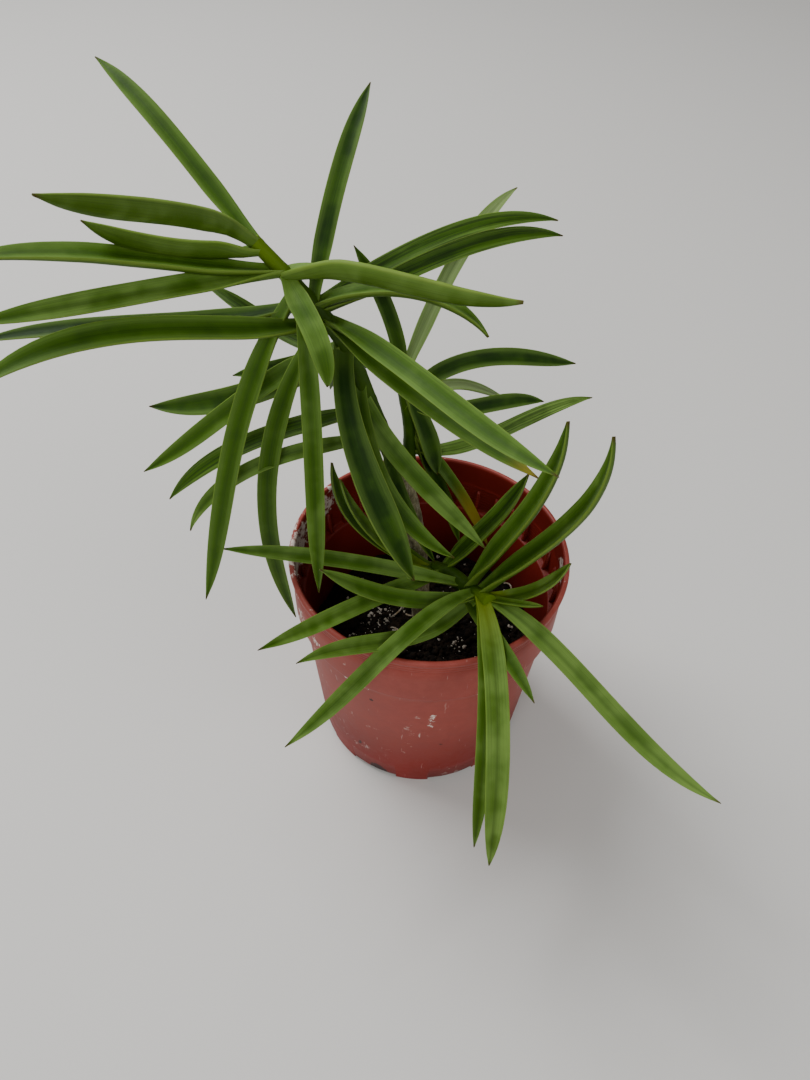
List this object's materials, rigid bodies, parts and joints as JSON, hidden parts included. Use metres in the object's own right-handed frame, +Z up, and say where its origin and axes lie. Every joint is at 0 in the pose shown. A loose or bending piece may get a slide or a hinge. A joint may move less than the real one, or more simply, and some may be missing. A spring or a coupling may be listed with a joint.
{
  "type": "potted senecio",
  "caption": "Long-leaved succulent house plant with a woody stem and leafy shoots, growing in potting mix in a round red plastic nursery pot with a rolled lip.",
  "frame": {"origin": "centre of the pot's flat underside", "axes": "+Z up along the pot's axis, -Y towards the viewer of the picture, +X to the viewer's right"},
  "size_m": [0.196, 0.1486, 0.2216],
  "materials": {
    "pot": "thin moulded plastic, satin and a little chalky",
    "soil": "dark peaty potting mix, matte",
    "woody_stem": "speckled grey-tan bark",
    "tall_shoot": "fleshy leaves, satin",
    "middle_shoot": "fleshy leaves, satin",
    "low_shoot": "fleshy leaves, satin"
  },
  "bodies": {
    "root": {"pot": "pot", "soil": "soil", "woody_stem": "woody_stem", "tall_shoot": "tall_shoot", "middle_shoot": "middle_shoot", "low_shoot": "low_shoot"}
  },
  "joints": []
}
